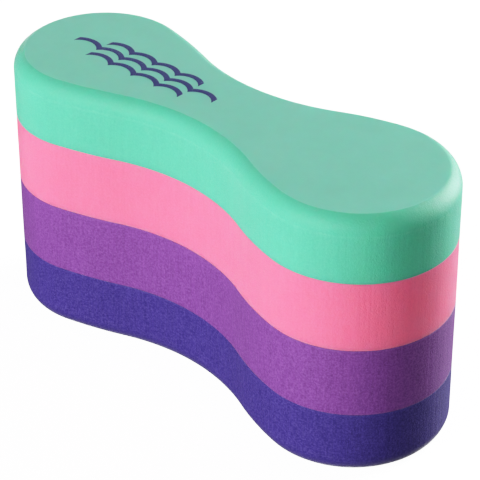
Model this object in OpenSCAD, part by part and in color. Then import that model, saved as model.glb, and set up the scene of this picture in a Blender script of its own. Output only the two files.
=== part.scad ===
// Pull buoy: a swimmer's leg float, cut from four bonded sheets of closed-cell EVA foam.
// The float stands on its flat base. The origin is the centre of the base, +X runs along
// the float towards its larger lobe, +Y across it, and +Z up through the sheets.

/* [Overall size] */
// Length of the float, from tip to tip
float_l = 230; // [220:1:240]
// Width of the waist, where the thighs hold the float
waist_w = 46.2; // [44:0.2:48]
// Place of the waist along the float, measured from its middle
waist_x = -4; // [-6:0.5:0]
// Radius of the hollow on each side of the waist
hollow_r = 94.5; // [88:0.5:100]

/* [Lobes] */
// Radius of the larger lobe's end
large_end_r = 42.4; // [41:0.2:44]
// Radius of the larger lobe's flanks
large_flank_r = 120; // [90:5:150]
// Radius of the smaller lobe's end
small_end_r = 39.2; // [38:0.2:41]
// Radius of the smaller lobe's flanks
small_flank_r = 190; // [150:5:220]

/* [Foam sheets, from the base up] */
// Thickness of the indigo sheet
indigo_t = 30.7; // [20:0.1:40]
// Thickness of the purple sheet
purple_t = 31.9; // [20:0.1:40]
// Thickness of the pink sheet
pink_t = 32; // [20:0.1:40]
// Thickness of the mint sheet
mint_t = 29.9; // [20:0.1:40]

/* [Rounded rims] */
// Radius of the arc along the upper and lower rims
rim_r = 9; // [6:0.5:12]
// Angle that the arc turns through before it meets the flat face
rim_turn = 64; // [50:1:75]

/* [Bonds] */
// Thickness of each film of contact adhesive
bond_t = 0.2; // [0.1:0.05:0.4]
// Distance from the cut side to the edge of each film
bond_setback = 1.5; // [0.5:0.5:4]

/* [Printed mark] */
// Depth of the ink, which is pressed flush into the top face
ink_t = 0.2; // [0.1:0.05:0.4]
// Width of each printed stroke
stroke_w = 2.6; // [1.5:0.1:3.5]
// Distance between neighbouring strokes
stroke_pitch = 6.5; // [5.5:0.5:8]
// Length of one crest of a stroke
crest_l = 14; // [10:0.5:15]
// Slope of the stroke at each end of a crest, in degrees
crest_slope = 45; // [20:1:55]
// Distance from the middle of the float to the middle of the mark
mark_x = -48; // [-56:1:-44]

/* [Hidden] */
$fn = 96;

// Extra length of a cutter past the face that it cuts
clear = 1;
// Depth by which neighbouring arcs cross, so that they meet along a clean edge
bite = 0.05;
// Angle by which a flank is turned on past its end, into the solid of the neck
run_on = 3;
// Width of the band of foam turned along each flank
flank_band = 16;

// Heights of the undersides of the sheets and films
lower_bond_z = indigo_t;
purple_z = lower_bond_z + bond_t;
middle_bond_z = purple_z + purple_t;
pink_z = middle_bond_z + bond_t;
upper_bond_z = pink_z + pink_t;
mint_z = upper_bond_z + bond_t;
float_h = mint_z + mint_t;

// How far down from the face the rim's arc starts
rim_drop = rim_r * sin(rim_turn);

// Each crest is an arc: its radius, and how far its centre is below its ends
arc_r = crest_l / 2 / sin(crest_slope);
arc_drop = arc_r * cos(crest_slope);

// Crests in the middle stroke, and in the two strokes beside it
LONG_STROKE = 6;
SHORT_STROKE = 4;

// Steps along the arcs of a sheet with a rounded rim
END_STEPS = 24;
FLANK_STEPS = 5;
HOLLOW_STEPS = 10;
RIM_STEPS = 6;

// A lobe is [distance from the waist to its tip, radius of its end, radius of its flanks]
LARGE_LOBE = [float_l / 2 - waist_x, large_end_r, large_flank_r];
SMALL_LOBE = [float_l / 2 + waist_x, small_end_r, small_flank_r];

// The outline is measured from the middle of the waist, with the lobe towards +X. From the
// tip it is an end arc, then a flatter flank arc, then the hollow, each running smoothly
// into the next. The hollow's centre is level with the waist.
hollow_y = waist_w / 2 + hollow_r;

// The end arc's centre is on the long axis, at this distance
function end_x(lobe) = lobe[0] - lobe[1];

// Angle from the long axis at which the end arc passes into the flank arc. It is the one
// that leaves the flank's centre a flank radius and a hollow radius from the hollow's.
function turn(lobe) =
    let (
        flatter = lobe[2] - lobe[1],
        apart = lobe[2] + hollow_r,
        far = norm([end_x(lobe), hollow_y]),
        rest = apart * apart - far * far - flatter * flatter
    )
    atan2(end_x(lobe), hollow_y) + asin(rest / (2 * flatter * far));

function flank_centre(lobe) =
    [end_x(lobe), 0] - (lobe[2] - lobe[1]) * [cos(turn(lobe)), sin(turn(lobe))];

// Angle from the long axis at which the flank arc passes into the hollow
function flank_stop(lobe) =
    atan2(hollow_y - flank_centre(lobe)[1], -flank_centre(lobe)[0]);

// Point at distance r from a flank's centre, in the given direction
function from_flank(lobe, r, direction) =
    flank_centre(lobe) + r * [cos(direction), sin(direction)];

// Corners of the core on one side of a lobe: two inside the flank's band, at its ends, and
// one inside the hollow
function core_corners(lobe) = [
    from_flank(lobe, lobe[2] - flank_band / 2, turn(lobe)),
    from_flank(lobe, lobe[2] - flank_band / 2, flank_stop(lobe)),
    from_flank(lobe, lobe[2] + hollow_r / 2, flank_stop(lobe))
];
function mirrored(points, x, y) =
    [for (p = points) [x * p[0], y * p[1]]];
function reversed(points) =
    [for (i = [len(points) - 1:-1:0]) points[i]];

// The ends and flanks of both lobes, as discs and bands with the given height
module lobes(inset, height) {
    for (lobe = [LARGE_LOBE, SMALL_LOBE])
        mirror([lobe == SMALL_LOBE ? 1 : 0, 0]) {
            flank_r = lobe[2] - inset - bite;
            sweep = flank_stop(lobe) - turn(lobe) + run_on;
            translate([end_x(lobe), 0])
                cylinder(r = lobe[1] - inset, h = height);
            for (side = [0, 1])
                mirror([0, side])
                    translate(flank_centre(lobe))
                        rotate([0, 0, turn(lobe)])
                            rotate_extrude(angle = sweep)
                                translate([flank_r - flank_band, 0])
                                    square([flank_band, height]);
        }
}

// The core between the lobes, with the two hollows taken out of it
module core(inset, height) {
    upper = concat(
        core_corners(LARGE_LOBE), reversed(mirrored(core_corners(SMALL_LOBE), -1, 1))
    );
    difference() {
        linear_extrude(height = height)
            polygon(concat(upper, reversed(mirrored(upper, 1, -1))));
        for (side = [-1, 1])
            translate([0, side * hollow_y, -clear])
                cylinder(r = hollow_r + inset + 2 * bite, h = height + 2 * clear);
    }
}

// A straight-sided sheet of thickness t, resting at height z, with its outline drawn in by
// the inset. It is made proud of both faces, which are then cut flat.
module sheet(z, t, inset = 0) {
    translate([waist_x, 0, z])
        intersection() {
            translate([0, 0, -clear])
                union() {
                    lobes(inset, t + 2 * clear);
                    core(inset, t + 2 * clear);
                }
            translate([-float_l, -float_l, 0])
                cube([2 * float_l, 2 * float_l, t]);
        }
}

// Points along an arc, from one angle up to the other but without its last point
function arc(centre, r, from, to, steps) =
    [
        for (i = [0:steps - 1])
            let (a = from + (to - from) * i / steps)
            centre + r * [cos(a), sin(a)]
    ];

// The outline on one side of a lobe, from its tip to the waist
function half_lobe(lobe, inset) = concat(
    arc([end_x(lobe), 0], lobe[1] - inset, 0, turn(lobe), END_STEPS),
    arc(flank_centre(lobe), lobe[2] - inset, turn(lobe), flank_stop(lobe), FLANK_STEPS),
    arc([0, hollow_y], hollow_r + inset, flank_stop(lobe) + 180, 270, HOLLOW_STEPS)
);

// The outline on one side of the float, from tip to tip
function half_outline(inset) = concat(
    half_lobe(LARGE_LOBE, inset),
    [[0, hollow_y - hollow_r - inset]],
    reversed(mirrored(half_lobe(SMALL_LOBE, inset), -1, 1))
);

// The whole outline at height z. Point i of one side faces point n - i of the other.
function ring(inset, z) =
    let (
        side = half_outline(inset),
        inner = [for (i = [1:len(side) - 2]) side[i]],
        all = concat(side, reversed(mirrored(inner, 1, -1)))
    )
    [for (p = all) [p[0], p[1], z]];

// Triangles between ring k and the next one up, and across a ring that ends the solid
function wall(n, k) = [
    for (i = [0:n - 1])
        let (a = k * n + i, b = k * n + (i + 1) % n)
        each [[a, a + n, b], [b, a + n, b + n]]
];
function cap(n, k) = [
    for (i = [0:n / 2 - 1])
        let (a = k * n + i, b = a + 1, c = k * n + (n - i) % n, d = k * n + n - i - 1)
        each concat(i == 0 ? [] : [[a, b, c]], i == n / 2 - 1 ? [] : [[c, b, d]])
];
function flipped(faces) = [for (f = faces) reversed(f)];

// A sheet of thickness t from height 0, with its upper rim rounded. It is made proud of its
// upper face, which is then cut flat.
module rounded_sheet(t) {
    rim = [
        for (i = [0:RIM_STEPS])
            let (a = rim_turn * i / RIM_STEPS)
            [rim_r * (1 - cos(a)), t - rim_drop + rim_r * sin(a)]
    ];
    profile = concat([[0, 0]], rim, [[rim[RIM_STEPS][0], t + clear]]);
    rings = [for (p = profile) ring(p[0], p[1])];
    n = len(rings[0]);
    last = len(rings) - 1;
    difference() {
        translate([waist_x, 0, 0])
            polyhedron(
                points = [for (r = rings) each r],
                faces = concat(
                    cap(n, 0),
                    [for (k = [0:last - 1]) each wall(n, k)],
                    flipped(cap(n, last))
                )
            );
        translate([-float_l, -float_l, t])
            cube([2 * float_l, 2 * float_l, 2 * clear]);
    }
}

// One crest of a stroke: the arch of a ring that stands on the X axis from the origin
module crest() {
    intersection() {
        translate([crest_l / 2, -arc_drop])
            difference() {
                circle(r = arc_r + stroke_w / 2);
                circle(r = arc_r - stroke_w / 2);
            }
        translate([0, -arc_drop])
            square([crest_l, 2 * arc_r]);
    }
}

// Stroke of n crests end to end, centred on the origin
module stroke(n) {
    for (i = [0:n - 1])
        translate([(i - n / 2) * crest_l, (arc_drop - arc_r) / 2])
            crest();
}

// Three strokes side by side, from depth ink_t under the top face up to height over it
module ink(over) {
    translate([mark_x, 0, float_h - ink_t])
        linear_extrude(height = ink_t + over) {
            stroke(LONG_STROKE);
            for (side = [-1, 1])
                translate([0, side * stroke_pitch])
                    stroke(SHORT_STROKE);
        }
}

module indigo_layer() {
    color("darkslateblue")
        translate([0, 0, indigo_t])
            mirror([0, 0, 1])
                rounded_sheet(indigo_t);
}

module lower_bond_film() {
    color("lightsteelblue")
        sheet(lower_bond_z, bond_t, bond_setback);
}

module purple_layer() {
    color("mediumorchid")
        sheet(purple_z, purple_t);
}

module middle_bond_film() {
    color("lightsteelblue")
        sheet(middle_bond_z, bond_t, bond_setback);
}

module pink_layer() {
    color("hotpink")
        sheet(pink_z, pink_t);
}

module upper_bond_film() {
    color("lightsteelblue")
        sheet(upper_bond_z, bond_t, bond_setback);
}

module mint_layer() {
    color("mediumaquamarine")
        difference() {
            translate([0, 0, mint_z])
                rounded_sheet(mint_t);
            ink(clear);
        }
}

module printed_mark() {
    color("midnightblue")
        ink(0);
}

indigo_layer();
lower_bond_film();
purple_layer();
middle_bond_film();
pink_layer();
upper_bond_film();
mint_layer();
printed_mark();
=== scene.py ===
# Looks of a swimmer's pull buoy: four bonded sheets of closed-cell foam with a printed mark.
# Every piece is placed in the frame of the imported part, in metres. +X runs along the float
# towards its larger lobe, +Y across it, and +Z up through the sheets.

import math

import bpy
import numpy as np
from mathutils import Matrix, Vector, noise


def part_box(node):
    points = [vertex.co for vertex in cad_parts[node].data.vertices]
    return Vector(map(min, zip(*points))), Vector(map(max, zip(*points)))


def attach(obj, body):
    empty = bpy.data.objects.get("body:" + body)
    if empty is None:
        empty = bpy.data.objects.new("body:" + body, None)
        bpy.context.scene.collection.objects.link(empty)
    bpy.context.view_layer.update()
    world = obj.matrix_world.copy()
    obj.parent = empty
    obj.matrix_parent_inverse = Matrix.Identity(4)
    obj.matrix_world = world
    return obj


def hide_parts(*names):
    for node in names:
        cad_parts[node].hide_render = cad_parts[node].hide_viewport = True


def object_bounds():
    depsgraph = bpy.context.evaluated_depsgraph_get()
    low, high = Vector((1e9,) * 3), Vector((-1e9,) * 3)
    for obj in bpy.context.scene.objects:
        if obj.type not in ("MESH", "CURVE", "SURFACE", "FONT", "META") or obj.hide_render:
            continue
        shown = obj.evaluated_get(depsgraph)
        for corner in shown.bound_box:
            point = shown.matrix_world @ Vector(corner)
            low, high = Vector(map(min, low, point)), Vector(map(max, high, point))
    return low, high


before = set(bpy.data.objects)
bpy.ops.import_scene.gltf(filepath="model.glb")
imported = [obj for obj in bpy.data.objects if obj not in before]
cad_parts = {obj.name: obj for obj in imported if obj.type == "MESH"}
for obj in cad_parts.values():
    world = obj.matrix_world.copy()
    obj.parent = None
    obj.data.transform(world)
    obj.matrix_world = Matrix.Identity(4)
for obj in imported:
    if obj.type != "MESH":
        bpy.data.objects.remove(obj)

CAD_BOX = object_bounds()
FILM_LOW, FILM_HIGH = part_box("lower_bond_film")
MM = 0.001

# ---------------------------------------------------------------- size and shape

# The outline, measured from the middle of the waist as in the CAD model
WAIST_X = -4 * MM
WAIST_W = 46.2 * MM
HOLLOW_R = 94.5 * MM
HOLLOW_Y = WAIST_W / 2 + HOLLOW_R
LARGE_REACH = CAD_BOX[1].x - WAIST_X
SMALL_REACH = WAIST_X - CAD_BOX[0].x
LARGE_LOBE = (LARGE_REACH, 42.4 * MM, 120 * MM)  # waist to tip, radius of end, of flank
SMALL_LOBE = (SMALL_REACH, 39.2 * MM, 190 * MM)
POINT_GAP = 1.3 * MM  # distance between neighbouring points along the outline

# The rounded rims: an arc that meets the flat face along a crease
RIM_R = 9 * MM
RIM_TURN = math.radians(64)
RIM_STEPS = 14
CREASE = 0.45 * MM  # how far the crease is softened to each side
CREASE_STEPS = 4

# Side of a sheet
ROW_GAP = 1.3 * MM
FLAT = math.pi / 2  # tilt of a face that looks straight up or down
BOND_HALF = (FILM_HIGH.z - FILM_LOW.z) / 2
LIP_W = 1.3 * MM  # width of the foam pinched together outside the glue
LIP_R = 0.14 * MM  # rounding of the cut edge at a joint
LIP_RUN = 0.5 * MM  # stretch over which the foam bends from the glue to its lip
LIP_GAP = 0.012 * MM  # what stays open between two pinched lips
LIP_TURNS = (math.radians(75), math.radians(45), math.radians(15))

# Painted highlight along the edges: how pale the foam is painted, from 0 to 1; the crease itself
# is painted palest, at 1
LIP_HIGHLIGHT = 0.12
RIM_START_HIGHLIGHT = 0.7

# Flat faces: rings close to the edge, then straight rows across
FACE_RINGS = (1.2 * MM, 3.2 * MM, 6 * MM)
ACROSS = 26

# Unevenness of the cut foam and of the glue's edge
SIDE_WAVE = 0.14 * MM
TOP_WAVE = 0.07 * MM
CUT_RIPPLE = 0.018 * MM
BOND_SETBACK = 1.5 * MM
BOND_WOBBLE = 0.5 * MM
BOND_RING = 2 * MM  # from the glue's edge to the first ring of its flat faces

# The printed mark: three rows of small wave crests
STROKE_W = 2.6 * MM
STROKE_PITCH = 6.5 * MM
CREST_L = 14 * MM
CREST_SLOPE = math.radians(45)
MARK_X = -48 * MM
STROKE_CRESTS = {-1: 4, 0: 6, 1: 4}  # row beside the middle one: number of crests
COLUMNS_PER_CREST = 26
INK_RISE = 0.05 * MM
INK_SINK = 0.15 * MM
INK_RAGGED = 0.05 * MM

# Looks of the foam
SIDE_ROUGH, RIM_ROUGH, SKIN_ROUGH = 0.7, 0.58, 0.47
SIDE_SHINE, RIM_SHINE = 0.3, 0.45
SIDE_SHEEN, RIM_SHEEN, SKIN_SHEEN = 0.35, 1.0, 0.03  # strongest glint of the fine down
LIGHT_REACH = 5 * MM  # how far the strongest colour travels inside the foam
PORE_DEPTH = 0.13 * MM

# The studio
WHITE = (1, 1, 1, 1)
FLOOR_HALF = 3.0
FLOOR_GREY = 0.2
FLOOR_GLOW = 0.9  # how bright the floor is to the camera, before any light reaches it
AMBIENT = 0.02  # even fill from all around
AIM = Vector((0, 0, 0.06))  # the point that the lights are turned to

# Light: azimuth, elevation, distance, width, height, power. Azimuth 0 is -Y, and 90 is +X
LIGHTS = {
    "key": (-17, 12, 1.2, 0.7, 0.7, 7.3),
    "front_fill": (13, 12, 1.2, 0.7, 0.7, 4.9),
    "key_core": (-5, 20, 1.3, 0.2, 0.5, 3.1),
    "rim": (160, 19, 1.3, 0.8, 1.1, 20),
    "rim_glint": (160, 14, 1.3, 0.8, 1.0, 11),
    "back_wall": (223, 8, 1.3, 0.9, 0.5, 1.8),
}


def arc_points(centre, radius, first, last, outward):
    """Points and outward normals along an arc, without its last point."""
    steps = max(2, round(abs(last - first) * radius / POINT_GAP))
    angles = first + (last - first) * np.arange(steps) / steps
    ray = np.stack([np.cos(angles), np.sin(angles)], axis=1)
    return np.array(centre) + radius * ray, outward * ray


def half_lobe(lobe):
    """One side of a lobe from its tip to the waist: end arc, flank arc, hollow."""
    reach, end_r, flank_r = lobe
    end_x = reach - end_r
    flatter = flank_r - end_r
    far = math.hypot(end_x, HOLLOW_Y)
    rest = (flank_r + HOLLOW_R) ** 2 - far ** 2 - flatter ** 2
    turn = math.atan2(end_x, HOLLOW_Y) + math.asin(rest / (2 * flatter * far))
    flank = (end_x - flatter * math.cos(turn), -flatter * math.sin(turn))
    stop = math.atan2(HOLLOW_Y - flank[1], -flank[0])
    arcs = [
        arc_points((end_x, 0), end_r, 0, turn, 1),
        arc_points(flank, flank_r, turn, stop, 1),
        arc_points((0, HOLLOW_Y), HOLLOW_R, stop + math.pi, 1.5 * math.pi, -1),
    ]
    return np.concatenate([a[0] for a in arcs]), np.concatenate([a[1] for a in arcs])


def outline():
    """Points and normals round the float, from the +X tip. Point i faces point n - i."""
    large, large_n = half_lobe(LARGE_LOBE)
    small, small_n = half_lobe(SMALL_LOBE)
    flip = np.array([-1, 1])
    side = np.concatenate([large, [[0, WAIST_W / 2]], (small * flip)[::-1]])
    side_n = np.concatenate([large_n, [[0, 1]], (small_n * flip)[::-1]])
    down = np.array([1, -1])
    points = np.concatenate([side, (side[1:-1] * down)[::-1]])
    normals = np.concatenate([side_n, (side_n[1:-1] * down)[::-1]])
    return points + np.array([WAIST_X, 0]), normals


OUTLINE, NORMALS = outline()


def wave(x, y, z, size, seed):
    """Smooth noise from -1 to 1 whose bumps are about that size."""
    return noise.noise(Vector((x / size + seed, y / size, z / size)))


def side_offset(x, y, z):
    """How far the cut side stands out: a slow wave, and the fine ripple left by the blade."""
    slow = wave(x, y, z, 34 * MM, 3.1) + 0.4 * wave(x, y, z, 11 * MM, 7.7)
    ripple = wave(x, y, z * 0.06, 1.9 * MM, 12.3)
    return SIDE_WAVE * slow + CUT_RIPPLE * ripple


def top_offset(x, y):
    """Unevenness of the upper face."""
    return TOP_WAVE * (wave(x, y, 0, 30 * MM, 5.4) + 0.35 * wave(x, y, 0, 7 * MM, 9.2))


# ---------------------------------------------------------------- meshes


def joint_edge(z, up):
    """Profile from inside a bonded face out to the cut side, as (inset, height, tilt, painted
    highlight). The foam is pinched past the glue, so that two neighbours all but touch; its
    rounded corner gets a painted highlight."""
    d = 1 if up else -1
    reach = z + d * (BOND_HALF - LIP_GAP)
    tilt = d * FLAT
    flat = [(LIP_W + LIP_RUN, z, tilt, 0), (LIP_W, reach, tilt, 0), (2 * LIP_R, reach, tilt, 0)]
    # The joint's rounded corner gets a painted highlight
    corner = [
        (LIP_R * (1 - math.cos(a)), reach - d * LIP_R * (1 - math.sin(a)), d * a, LIP_HIGHLIGHT)
        for a in LIP_TURNS
    ]
    return flat + corner


def rim_edge(z, up):
    """Profile from the cut side in to a flat face, as (inset, height, tilt, painted highlight):
    the rim's arc, its crease, the face. The rim's first row and the crease get a painted
    highlight."""
    d = 1 if up else -1
    drop = RIM_R * math.sin(RIM_TURN)
    rows = []
    last_turn = RIM_TURN - CREASE / RIM_R
    for i in range(RIM_STEPS + 1):
        a = last_turn * i / RIM_STEPS
        # The rim's first row gets a painted highlight
        edge_highlight = RIM_START_HIGHLIGHT if i == 0 else 0
        rows.append((RIM_R * (1 - math.cos(a)), z - d * (drop - RIM_R * math.sin(a)), d * a, edge_highlight))
    corner = RIM_R * (1 - math.cos(RIM_TURN))
    start = rows.pop()
    for i in range(CREASE_STEPS + 1):
        t = i / CREASE_STEPS
        inset = (1 - t) ** 2 * start[0] + 2 * t * (1 - t) * corner + t ** 2 * (corner + CREASE)
        height = (1 - t) ** 2 * start[1] + (1 - (1 - t) ** 2) * z
        tilt = RIM_TURN + (FLAT - RIM_TURN) * t
        # The crease gets a painted highlight, palest in its middle
        rows.append((inset, height, d * tilt, math.sin(math.pi * t)))
    return rows + [(corner + CREASE + r, z, d * FLAT, 0) for r in FACE_RINGS]


def side_rows(low, high):
    """Straight rows up the cut side, between two heights."""
    count = max(2, round((high - low) / ROW_GAP))
    return [(0, low + (high - low) * i / count, 0, 0) for i in range(1, count)]


def sheet_profile(low, high, rounded_base=False, rounded_top=False):
    """Whole profile of a sheet, from inside its base to inside its upper face."""
    base = rim_edge(low, False)[::-1] if rounded_base else joint_edge(low, False)
    top = rim_edge(high, True) if rounded_top else joint_edge(high, True)[::-1]
    return base + side_rows(base[-1][1], top[0][1]) + top


def place(point, normal, row, top_z):
    """One vertex of a sheet, moved a little out or in along its profile's normal."""
    inset, z, tilt, _ = row
    x, y = point - normal * inset
    flat = abs(math.sin(tilt))
    out = side_offset(x, y, z) * math.cos(tilt) if flat < 0.999 else 0
    x += normal[0] * out
    y += normal[1] * out
    if top_z is not None and tilt > 0:
        z += top_offset(x, y) * math.sin(tilt) ** 2
    return (x, y, z)


def add_cap(vertices, faces, ring, upward, top_z):
    """Closes a ring with rows straight across it, from point i to point n - i."""
    n = len(ring)
    half = n // 2
    columns = [[ring[0]]]
    for i in range(1, half):
        a = np.array(vertices[ring[i]])
        b = np.array(vertices[ring[n - i]])
        column = [ring[i]]
        for k in range(1, ACROSS):
            x, y, z = a + (b - a) * k / ACROSS
            if top_z is not None:
                z = top_z + top_offset(x, y)
            column.append(len(vertices))
            vertices.append((x, y, z))
        columns.append(column + [ring[n - i]])
    columns.append([ring[half]])
    for left, right in zip(columns, columns[1:]):
        for k in range(ACROSS):
            corners = [left[min(k, len(left) - 1)], right[min(k, len(right) - 1)]]
            corners += [right[min(k + 1, len(right) - 1)], left[min(k + 1, len(left) - 1)]]
            face = list(dict.fromkeys(corners))
            faces.append(face if upward else face[::-1])


def make_object(name, vertices, faces, edge_highlight=None):
    """A smooth-shaded mesh object, with a painted edge-highlight value on each vertex."""
    mesh = bpy.data.meshes.new(name)
    mesh.from_pydata([tuple(v) for v in vertices], [], faces)
    mesh.validate()
    mesh.shade_smooth()
    values = np.zeros(len(mesh.vertices), np.float32)
    if edge_highlight is not None:
        values[:len(edge_highlight)] = edge_highlight
    mesh.attributes.new("painted_edge_highlight", "FLOAT", "POINT").data.foreach_set("value", values)
    mesh.update()
    piece = bpy.data.objects.new(name, mesh)
    bpy.context.scene.collection.objects.link(piece)
    return piece


def lofted(name, profile, top_z=None, points=OUTLINE):
    """A closed piece: the profile carried round the outline, and both ends capped."""
    n = len(points)
    vertices = [place(p, m, row, top_z) for row in profile for p, m in zip(points, NORMALS)]
    edge_highlight = [row[3] for row in profile for _ in range(n)]
    faces = []
    for k in range(len(profile) - 1):
        for i in range(n):
            j = (i + 1) % n
            faces.append([k * n + i, k * n + j, (k + 1) * n + j, (k + 1) * n + i])
    last = (len(profile) - 1) * n
    add_cap(vertices, faces, list(range(n)), False, None)
    add_cap(vertices, faces, list(range(last, last + n)), True, top_z)
    return make_object(name, vertices, faces, edge_highlight)


def adopt(piece, node, material):
    """The piece stands for a CAD node, rides on the one body and takes its material."""
    piece.data.materials.append(material)
    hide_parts(node)
    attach(piece, "root")


def bond_film(name, node):
    """A film of glue with an uneven edge, where it was squeezed between the sheets."""
    low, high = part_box(node)
    points = []
    for (x, y), (nx, ny) in zip(OUTLINE, NORMALS):
        back = BOND_SETBACK + BOND_WOBBLE * (0.6 + wave(x, y, low.z, 6 * MM, 21.5))
        points.append((x - nx * back, y - ny * back))
    middle = (low.z + high.z) / 2
    swell = (high.z - low.z) * 0.35
    profile = [
        (BOND_RING, low.z, -FLAT, 0),
        (swell, low.z, -FLAT, 0),
        (0.3 * swell, middle - 0.7 * swell, -FLAT / 2, 0),
        (0, middle, 0, 0),
        (0.3 * swell, middle + 0.7 * swell, FLAT / 2, 0),
        (swell, high.z, FLAT, 0),
        (BOND_RING, high.z, FLAT, 0),
    ]
    return lofted(name, profile, points=np.array(points))


def stroke_columns(crests, row):
    """Inner and outer edge of a stroke at each x: arches end to end, cut on upright lines."""
    arc_r = CREST_L / 2 / math.sin(CREST_SLOPE)
    drop = arc_r * math.cos(CREST_SLOPE)
    columns = []
    for i in range(crests * COLUMNS_PER_CREST + 1):
        along = i / COLUMNS_PER_CREST
        x = (along % 1 - 0.5) * CREST_L
        edges = [
            math.sqrt((arc_r + s * STROKE_W / 2) ** 2 - x ** 2) - drop + (drop - arc_r) / 2
            for s in (-1, 1)
        ]
        centre = MARK_X + (along - crests / 2) * CREST_L
        ragged = INK_RAGGED * wave(centre, row, 0, 0.9 * MM, 31.0)
        columns.append((centre, row + edges[0] + ragged, row + edges[1] - ragged))
    return columns


def stroke_mesh(vertices, faces, crests, row):
    """One stroke of ink: a thin closed ribbon that follows the face, with soft edges."""
    shape = ((0, -INK_SINK), (0, 0), (0.04, 0.75 * INK_RISE), (0.1, INK_RISE), (0.5, INK_RISE))
    ring = list(shape) + [(1 - s, rise) for s, rise in shape[-2::-1]]
    top = CAD_BOX[1].z
    columns = stroke_columns(crests, row)
    first = len(vertices)
    size = len(ring)
    for x, low, high in columns:
        for share, rise in ring:
            y = low + (high - low) * share
            vertices.append((x, y, top + top_offset(x, y) + rise))
    for c in range(len(columns) - 1):
        for k in range(size):
            a = first + c * size + k
            b = first + c * size + (k + 1) % size
            faces.append([a, b, b + size, a + size])
    faces.append([first + k for k in range(size)][::-1])
    end = first + (len(columns) - 1) * size
    faces.append([end + k for k in range(size)])


def printed_mark():
    """The ink on the upper face."""
    vertices, faces = [], []
    for row, crests in STROKE_CRESTS.items():
        stroke_mesh(vertices, faces, crests, row * STROKE_PITCH)
    return make_object("printed_mark_ink", vertices, faces)


# ---------------------------------------------------------------- materials


def srgb(r, g, b):
    """A colour given in the 0-255 values of a screen, as linear light."""
    def linear(v):
        v /= 255
        return v / 12.92 if v <= 0.04045 else ((v + 0.055) / 1.055) ** 2.4
    return (linear(r), linear(g), linear(b), 1)


MINT_CUT = srgb(99, 193, 161)
# Painted light: the mint's top skin is its skin tone made paler than its sides, standing in for
# light falling on the top face
MINT_SKIN_WITH_PAINTED_LIGHT = srgb(134, 210, 187)
PINK = srgb(254, 121, 154)
PURPLE = srgb(123, 72, 142)
INDIGO = srgb(69, 56, 127)
NAVY = srgb(68, 72, 124)
AMBER = srgb(226, 214, 178)
FLUFF_WHITE = srgb(225, 222, 232)


class Graph:
    """The node tree of one material, with short calls to add nodes."""

    def __init__(self, name):
        self.material = bpy.data.materials.new(name)
        self.material.use_nodes = True
        self.tree = self.material.node_tree
        self.tree.nodes.clear()
        self.place = self.add("ShaderNodeTexCoord").outputs["Object"]

    def feed(self, socket, value):
        if isinstance(value, bpy.types.NodeSocket):
            self.tree.links.new(value, socket)
        else:
            socket.default_value = value

    def add(self, kind, settings=None, inputs=None):
        made = self.tree.nodes.new(kind)
        for key, value in (settings or {}).items():
            setattr(made, key, value)
        for key, value in (inputs or {}).items():
            self.feed(made.inputs[key], value)
        return made

    def stretched(self, bumps):
        """Place on the piece, counted in bumps per metre: one number, or one for each axis."""
        scale = bumps if isinstance(bumps, tuple) else (bumps, bumps, bumps)
        inputs = {"Vector": self.place, "Scale": scale}
        return self.add("ShaderNodeMapping", inputs=inputs).outputs["Vector"]

    def noise(self, bumps, detail=2, roughness=0.5):
        inputs = {"Vector": self.stretched(bumps), "Scale": 1.0, "Detail": detail}
        inputs["Roughness"] = roughness
        return self.add("ShaderNodeTexNoise", inputs=inputs).outputs["Fac"]

    def cells(self, bumps):
        inputs = {"Vector": self.stretched(bumps), "Scale": 1.0}
        return self.add("ShaderNodeTexVoronoi", inputs=inputs).outputs["Distance"]

    def math(self, operation, a, b=0.0, c=0.0):
        made = self.add("ShaderNodeMath", {"operation": operation})
        for socket, value in zip(made.inputs, (a, b, c)):
            self.feed(socket, value)
        return made.outputs["Value"]

    def span(self, value, low, high, to_low=0.0, to_high=1.0):
        """Value carried from one range to another, and held inside it."""
        inputs = {"Value": value, "From Min": low, "From Max": high}
        inputs.update({"To Min": to_low, "To Max": to_high})
        return self.add("ShaderNodeMapRange", inputs=inputs).outputs["Result"]

    def spread(self, value, amount):
        """Noise round 0.5 turned into a share round zero, at most about the amount."""
        return self.math("MULTIPLY", self.math("SUBTRACT", value, 0.5), 2 * amount)

    def total(self, *values):
        result = values[0]
        for value in values[1:]:
            result = self.math("ADD", result, value)
        return result

    def mix(self, share, a, b):
        made = self.add("ShaderNodeMix", {"data_type": "RGBA"})
        for index, value in ((0, share), (6, a), (7, b)):
            self.feed(made.inputs[index], value)
        return made.outputs[2]

    def mix_value(self, share, a, b):
        """From a to b as the share goes from 0 to 1."""
        return self.math("MULTIPLY_ADD", share, self.math("SUBTRACT", b, a), a)

    def brighten(self, colour, value, saturation=1.0):
        inputs = {"Color": colour, "Value": value, "Saturation": saturation}
        return self.add("ShaderNodeHueSaturation", inputs=inputs).outputs["Color"]

    def bump(self, height, distance):
        inputs = {"Height": height, "Distance": distance, "Strength": 1.0}
        return self.add("ShaderNodeBump", inputs=inputs).outputs["Normal"]

    def upward(self):
        """Upward part of the true surface normal, from -1 to 1."""
        normal = self.add("ShaderNodeNewGeometry").outputs["Normal"]
        return self.add("ShaderNodeSeparateXYZ", inputs={"Vector": normal}).outputs["Z"]

    def edge_highlight(self):
        made = self.add("ShaderNodeAttribute", {"attribute_name": "painted_edge_highlight"})
        return made.outputs["Fac"]

    def finish(self, inputs):
        shader = self.add("ShaderNodeBsdfPrincipled", inputs=inputs)
        output = self.add("ShaderNodeOutputMaterial")
        self.tree.links.new(shader.outputs["BSDF"], output.inputs["Surface"])
        return self.material


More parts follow.
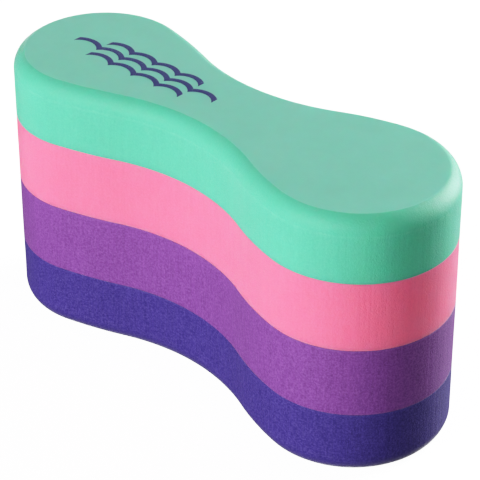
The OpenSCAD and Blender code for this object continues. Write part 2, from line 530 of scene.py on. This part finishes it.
def foam(name, cut, skin_tone_and_top_light, speckle, fluff, depth):
    """Closed-cell foam: a cut side with cells, fuzz and upright blade streaks, a smoother
    rim, a skin on the flat faces, and a painted highlight along the edges. On the mint sheet
    the skin colour is also made paler with painted light on the top. Speckle is how strongly
    the fuzz shows, fluff how pale its tips are, and depth how much light enters the foam."""
    g = Graph(name)
    mottle = g.noise(55, 3)
    patch = g.noise(190)
    fuzz = g.noise(1150, 3, 0.65)
    streak = g.noise((480, 480, 24), 3, 0.6)
    down = g.noise(1900, 2, 0.6)
    fine_streak = g.noise((1300, 1300, 110), 1)
    cell = g.cells(1700)
    level = g.math("ABSOLUTE", g.upward())
    on_skin = g.span(level, 0.93, 0.99)
    on_rim = g.span(level, 0.08, 0.35)

    marks = g.total(
        g.spread(fuzz, speckle), g.spread(streak, 0.05), g.spread(fine_streak, 0.3 * speckle)
    )
    marks = g.math("MULTIPLY", marks, g.mix_value(on_rim, 1.0, 0.4))
    cut_value = g.total(1.0, g.spread(mottle, 0.035), g.spread(patch, 0.025), marks)
    skin_value = g.total(1.0, g.spread(mottle, 0.05), g.spread(patch, 0.03), g.spread(fuzz, 0.03))
    tips = g.math("MULTIPLY", g.span(fuzz, 0.42, 0.8), fluff)
    cut_colour = g.mix(tips, g.brighten(cut, cut_value), FLUFF_WHITE)
    # The flat faces take the skin colour; on the mint sheet its paleness is partly painted light
    # on the top
    colour = g.mix(on_skin, cut_colour, g.brighten(skin_tone_and_top_light, skin_value))
    # Painted highlight: a patchy paler colour along the crease, the rim's first row and the
    # joints' corners
    highlight_tint = g.brighten(colour, 1.12, 0.9)
    highlight_share = g.math("MULTIPLY", g.edge_highlight(), g.span(g.noise(240), 0.35, 0.7, 0.1, 0.6))

    side_rough = g.mix_value(on_rim, SIDE_ROUGH, RIM_ROUGH)
    cut_rough = g.total(side_rough, g.spread(fuzz, 0.08), g.spread(streak, 0.06))
    skin_rough = g.total(SKIN_ROUGH, g.spread(patch, 0.05), g.spread(fuzz, 0.05))
    down_tips = g.span(down, 0.3, 0.7, 0.1, 1.0)
    glint = g.math("MULTIPLY", down_tips, g.mix_value(on_rim, SIDE_SHEEN, RIM_SHEEN))

    pores = g.math("MULTIPLY", g.math("SUBTRACT", 1.0, cell), 0.6)
    cut_height = g.total(pores, g.math("MULTIPLY", streak, 1.1), g.math("MULTIPLY", fuzz, 0.8))
    cut_height = g.math("MULTIPLY", cut_height, g.mix_value(on_rim, 1.0, 0.75))
    skin_height = g.total(g.math("MULTIPLY", fuzz, 0.22), g.math("MULTIPLY", patch, 0.5))
    height = g.mix_value(on_skin, cut_height, skin_height)
    return g.finish({
        "Base Color": g.mix(highlight_share, colour, highlight_tint),
        "Roughness": g.mix_value(on_skin, cut_rough, skin_rough),
        "Specular IOR Level": g.mix_value(on_rim, SIDE_SHINE, RIM_SHINE),
        "Sheen Weight": g.mix_value(on_skin, glint, SKIN_SHEEN),
        "Sheen Roughness": 0.35,
        "Subsurface Weight": depth,
        "Subsurface Radius": tuple(channel / max(cut[:3]) for channel in cut[:3]),
        "Subsurface Scale": LIGHT_REACH,
        "Normal": g.bump(height, PORE_DEPTH),
    })


def glue(name, colour):
    """Dried contact glue: cloudy, with brush marks along the float."""
    g = Graph(name)
    brush = g.noise((30, 420, 30), 3)
    cloud = g.noise(130, 3)
    tint = g.brighten(colour, g.total(1.0, g.spread(brush, 0.18), g.spread(cloud, 0.12)))
    return g.finish({
        "Base Color": tint,
        "Roughness": g.total(0.35, g.spread(cloud, 0.15)),
        "Subsurface Weight": 0.2,
        "Subsurface Scale": 0.5 * MM,
        "Normal": g.bump(g.total(brush, cloud), 0.05 * MM),
    })


def ink(name, colour, foam_colour):
    """Screen-printed ink that has sunk a little into the foam, with a few thin spots."""
    g = Graph(name)
    body = g.noise(160)
    grain = g.noise(1300)
    thin = g.math("MULTIPLY", g.span(grain, 0.6, 0.8), 0.35)
    tint = g.brighten(colour, g.total(1.0, g.spread(body, 0.08), g.spread(grain, 0.08)))
    return g.finish({
        "Base Color": g.mix(thin, tint, foam_colour),
        "Roughness": g.total(0.46, g.spread(grain, 0.1)),
        "Specular IOR Level": 0.4,
        "Normal": g.bump(g.total(body, grain), 0.03 * MM),
    })


# ---------------------------------------------------------------- stage


def area_light(name, azimuth, elevation, distance, width, height, power):
    """A soft box aimed at the middle of the float."""
    a = math.radians(azimuth)
    e = math.radians(elevation)
    back = Vector((math.sin(a) * math.cos(e), -math.cos(a) * math.cos(e), math.sin(e)))
    data = bpy.data.lights.new(name, "AREA")
    data.shape = "RECTANGLE"
    data.size = width
    data.size_y = height
    data.energy = power
    lamp = bpy.data.objects.new(name, data)
    lamp.location = AIM + back * distance
    lamp.rotation_mode = "QUATERNION"
    lamp.rotation_quaternion = back.to_track_quat("Z", "Y")
    bpy.context.scene.collection.objects.link(lamp)
    return lamp


def white_world():
    """A white backdrop to the camera, and a weaker even fill to everything else."""
    world = bpy.data.worlds.new("studio")
    bpy.context.scene.world = world
    world.use_nodes = True
    tree = world.node_tree
    tree.nodes.clear()
    seen = tree.nodes.new("ShaderNodeBackground")
    seen.inputs["Color"].default_value = WHITE
    seen.inputs["Strength"].default_value = 1.0
    lit = tree.nodes.new("ShaderNodeBackground")
    lit.inputs["Color"].default_value = WHITE
    lit.inputs["Strength"].default_value = AMBIENT
    path = tree.nodes.new("ShaderNodeLightPath")
    mix = tree.nodes.new("ShaderNodeMixShader")
    output = tree.nodes.new("ShaderNodeOutputWorld")
    tree.links.new(path.outputs["Is Camera Ray"], mix.inputs[0])
    tree.links.new(lit.outputs[0], mix.inputs[1])
    tree.links.new(seen.outputs[0], mix.inputs[2])
    tree.links.new(mix.outputs[0], output.inputs["Surface"])


def pale_floor():
    """A wide pale floor under the float. To the camera it glows, so that only a faint shadow
    is left on it."""
    half = FLOOR_HALF
    corners = [(-half, -half, 0), (half, -half, 0), (half, half, 0), (-half, half, 0)]
    mesh = bpy.data.meshes.new("floor")
    mesh.from_pydata(corners, [], [[0, 1, 2, 3]])
    floor = bpy.data.objects.new("floor", mesh)
    floor.location.z = -0.2 * MM
    bpy.context.scene.collection.objects.link(floor)
    g = Graph("floor_paper")
    seen = g.add("ShaderNodeLightPath").outputs["Is Camera Ray"]
    grain = g.total(1.0, g.spread(g.noise(9), 0.01))
    material = g.finish({
        "Base Color": g.brighten((FLOOR_GREY, FLOOR_GREY, FLOOR_GREY, 1), grain),
        "Roughness": 0.9,
        "Specular IOR Level": 0.0,
        "Emission Color": WHITE,
        "Emission Strength": g.math("MULTIPLY", seen, FLOOR_GLOW),
    })
    mesh.materials.append(material)


def print_curve():
    """Gives the picture the soft shoulder of a product print: deeper darks, held highlights."""
    settings = bpy.context.scene.view_settings
    settings.view_transform = "Standard"
    settings.use_curve_mapping = True
    mapping = settings.curve_mapping
    mapping.initialize()
    shoulder, toe = 3.0, 1.5
    for light in (0.03, 0.08, 0.18, 0.35, 0.62):
        tone = ((1 - math.exp(-shoulder * light)) / (1 - math.exp(-shoulder))) ** toe
        mapping.curves[3].points.new(light, tone)
    mapping.update()


def camera():
    """The camera: a long lens, above and in front of the larger lobe."""
    azimuth, elevation = math.radians(43.39), math.radians(32.33)
    pan, tilt, roll = math.radians(-0.32), math.radians(-0.26), math.radians(0.21)
    distance = 0.9712
    back = Vector((
        math.sin(azimuth) * math.cos(elevation),
        -math.cos(azimuth) * math.cos(elevation),
        math.sin(elevation),
    ))
    forward = -back
    right = forward.cross(Vector((0, 0, 1))).normalized()
    up = right.cross(forward)
    turn = Matrix.Rotation(pan, 3, up)
    forward, right = turn @ forward, turn @ right
    turn = Matrix.Rotation(tilt, 3, right)
    forward, up = turn @ forward, turn @ up
    turn = Matrix.Rotation(roll, 3, forward)
    right, up = turn @ right, turn @ up
    data = bpy.data.cameras.new("camera")
    data.sensor_width = 36
    data.lens = 166.86
    data.clip_start = 0.05
    made = bpy.data.objects.new("camera", data)
    pose = Matrix((right, up, -forward)).transposed().to_4x4()
    pose.translation = Vector((0, 0, CAD_BOX[1].z / 2)) + back * distance
    made.matrix_world = pose
    bpy.context.scene.collection.objects.link(made)
    bpy.context.scene.camera = made


# ---------------------------------------------------------------- the float

# Piece, CAD node, material slot, cut colour, skin colour (on mint made paler with painted light on
# the top), speckle, fluff, depth of light
SHEETS = (
    ("indigo_foam_sheet", "indigo_layer", "indigo_foam", INDIGO, INDIGO, 0.56, 0.05, 0.0),
    ("purple_foam_sheet", "purple_layer", "purple_foam", PURPLE, PURPLE, 0.5, 0.05, 0.0),
    ("pink_foam_sheet", "pink_layer", "pink_foam", PINK, PINK, 0.12, 0.02, 0.7),
    ("mint_foam_sheet", "mint_layer", "mint_foam", MINT_CUT, MINT_SKIN_WITH_PAINTED_LIGHT, 0.12, 0.02, 0.7),
)
for name, node, slot, cut, skin_tone_and_top_light, speckle, fluff, depth in SHEETS:
    low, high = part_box(node)
    is_base = node == "indigo_layer"
    is_top = node == "mint_layer"
    profile = sheet_profile(low.z, high.z, is_base, is_top)
    sheet = lofted(name, profile, high.z if is_top else None)
    adopt(sheet, node, foam(name + "_finish", cut, skin_tone_and_top_light, speckle, fluff, depth))

adhesive = glue("contact_glue", AMBER)
for film in ("lower_bond_film", "middle_bond_film", "upper_bond_film"):
    adopt(bond_film(film + "_glue", film), film, adhesive)

adopt(printed_mark(), "printed_mark", ink("printed_ink", NAVY, MINT_SKIN_WITH_PAINTED_LIGHT))

pale_floor()
white_world()
lamps = {name: area_light(name, *values) for name, values in LIGHTS.items()}
lamps["key"].visible_glossy = False
lamps["rim_glint"].visible_diffuse = False
camera()
print_curve()
